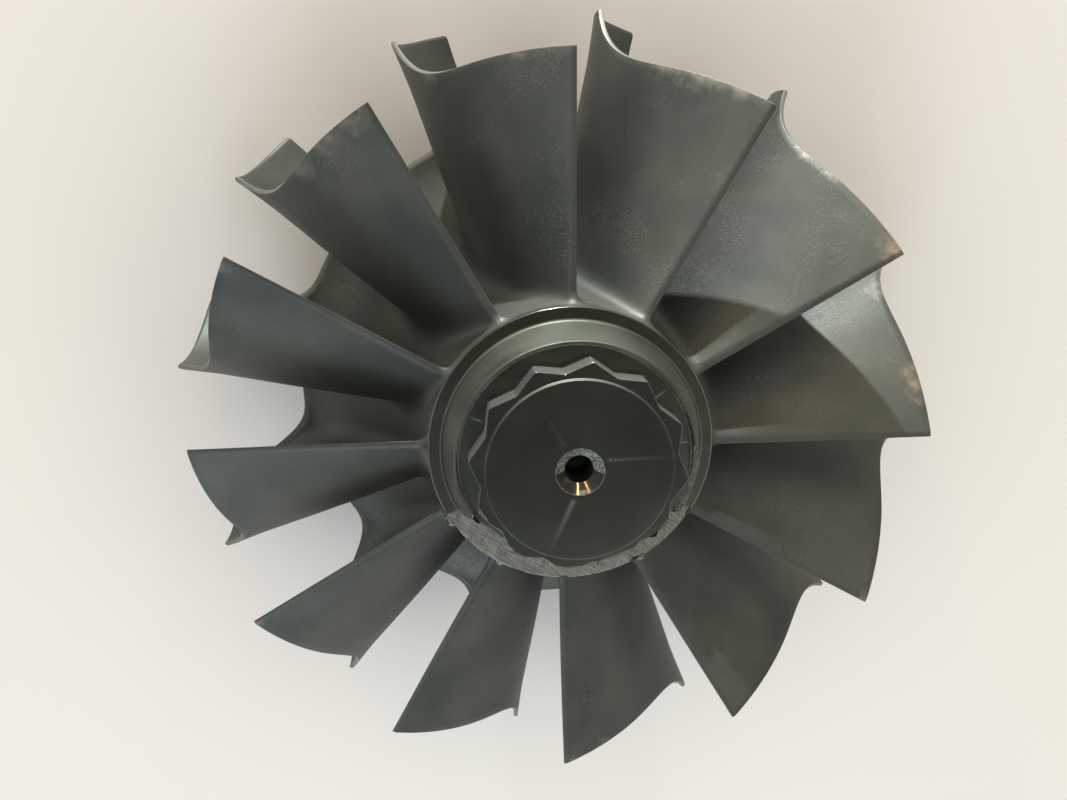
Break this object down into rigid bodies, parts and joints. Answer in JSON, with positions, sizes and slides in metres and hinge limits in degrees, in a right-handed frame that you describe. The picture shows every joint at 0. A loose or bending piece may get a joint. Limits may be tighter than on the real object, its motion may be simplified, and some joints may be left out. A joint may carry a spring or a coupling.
{
  "type": "turbocharger turbine wheel",
  "caption": "Radial inflow turbine wheel with swept blades, scalloped back disc, ground nose collar, multi-point drive head and rear weld boss.",
  "frame": {"origin": "centre of the flat rear face of the weld boss, on the wheel's axis", "axes": "+Z along the axis towards the nose; blade_01's trailing edge lies along +Y"},
  "size_m": [0.127, 0.127, 0.0664],
  "materials": {
    "cast_alloy": "investment-cast nickel alloy, heat darkened, fine cast grain",
    "turned_alloy": "turned and ground nickel alloy, dull grey"
  },
  "bodies": {
    "root": {"hub_and_back_disc": "cast_alloy", "weld_boss": "turned_alloy", "nose_collar": "turned_alloy", "drive_head_12_point": "turned_alloy", "blade_01": "cast_alloy", "blade_02": "cast_alloy", "blade_03": "cast_alloy", "blade_04": "cast_alloy", "blade_05": "cast_alloy", "blade_06": "cast_alloy", "blade_07": "cast_alloy", "blade_08": "cast_alloy", "blade_09": "cast_alloy", "blade_10": "cast_alloy", "blade_11": "cast_alloy", "blade_12": "cast_alloy"}
  },
  "joints": []
}
